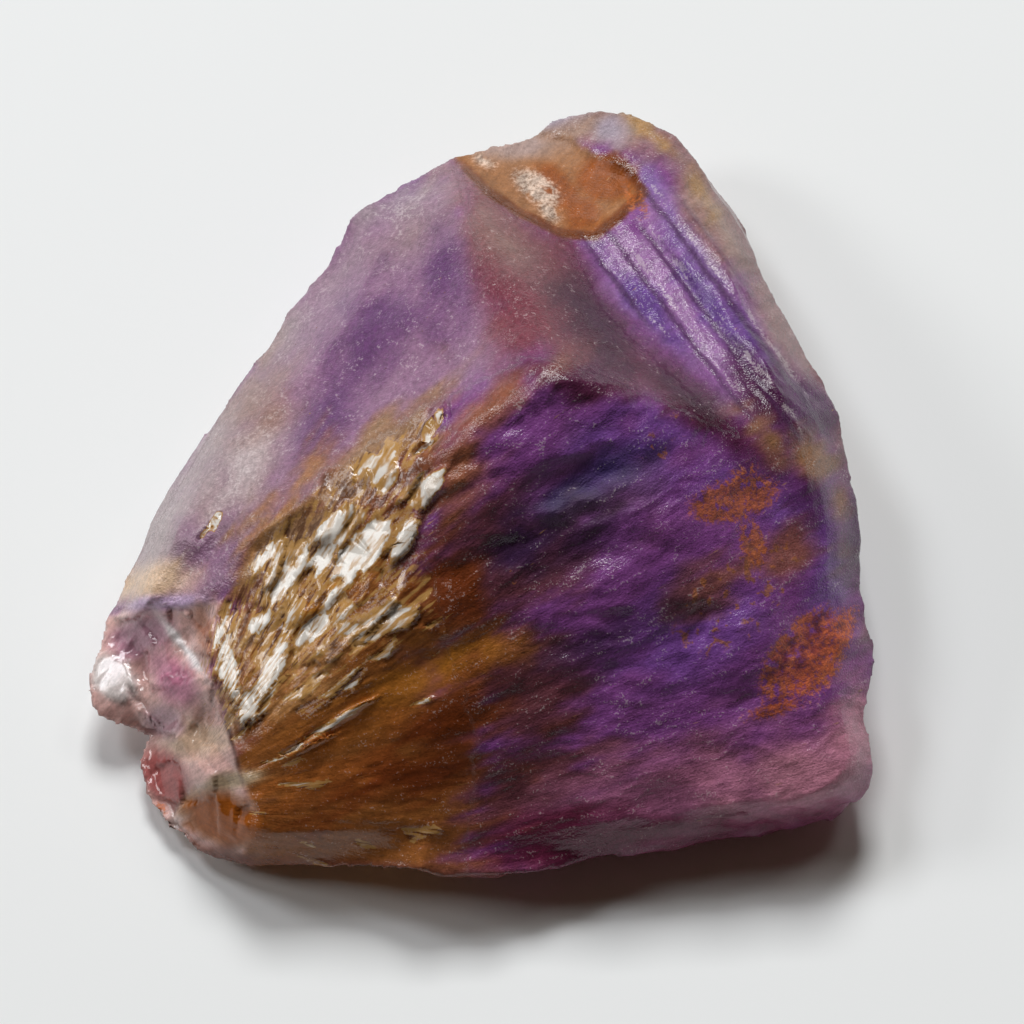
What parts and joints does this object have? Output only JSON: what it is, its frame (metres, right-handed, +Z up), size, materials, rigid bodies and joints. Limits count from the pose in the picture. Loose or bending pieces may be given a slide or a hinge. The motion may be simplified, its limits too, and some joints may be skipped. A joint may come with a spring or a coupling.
{
  "type": "rough ametrine",
  "caption": "Broken chunk of rough purple and amber quartz with ledged, rippled and glassy fracture faces, lying on a flat face.",
  "frame": {"origin": "centre of the stone's box at the height of the surface that it rests on", "axes": "+Z up, +Y away from the viewer of the picture, +X to the viewer's right"},
  "size_m": [0.038, 0.0406, 0.0166],
  "materials": {
    "ametrine_quartz": "satin to glassy broken quartz, purple with an amber zone and rust stains"
  },
  "bodies": {
    "root": {"ametrine": "ametrine_quartz"}
  },
  "joints": []
}
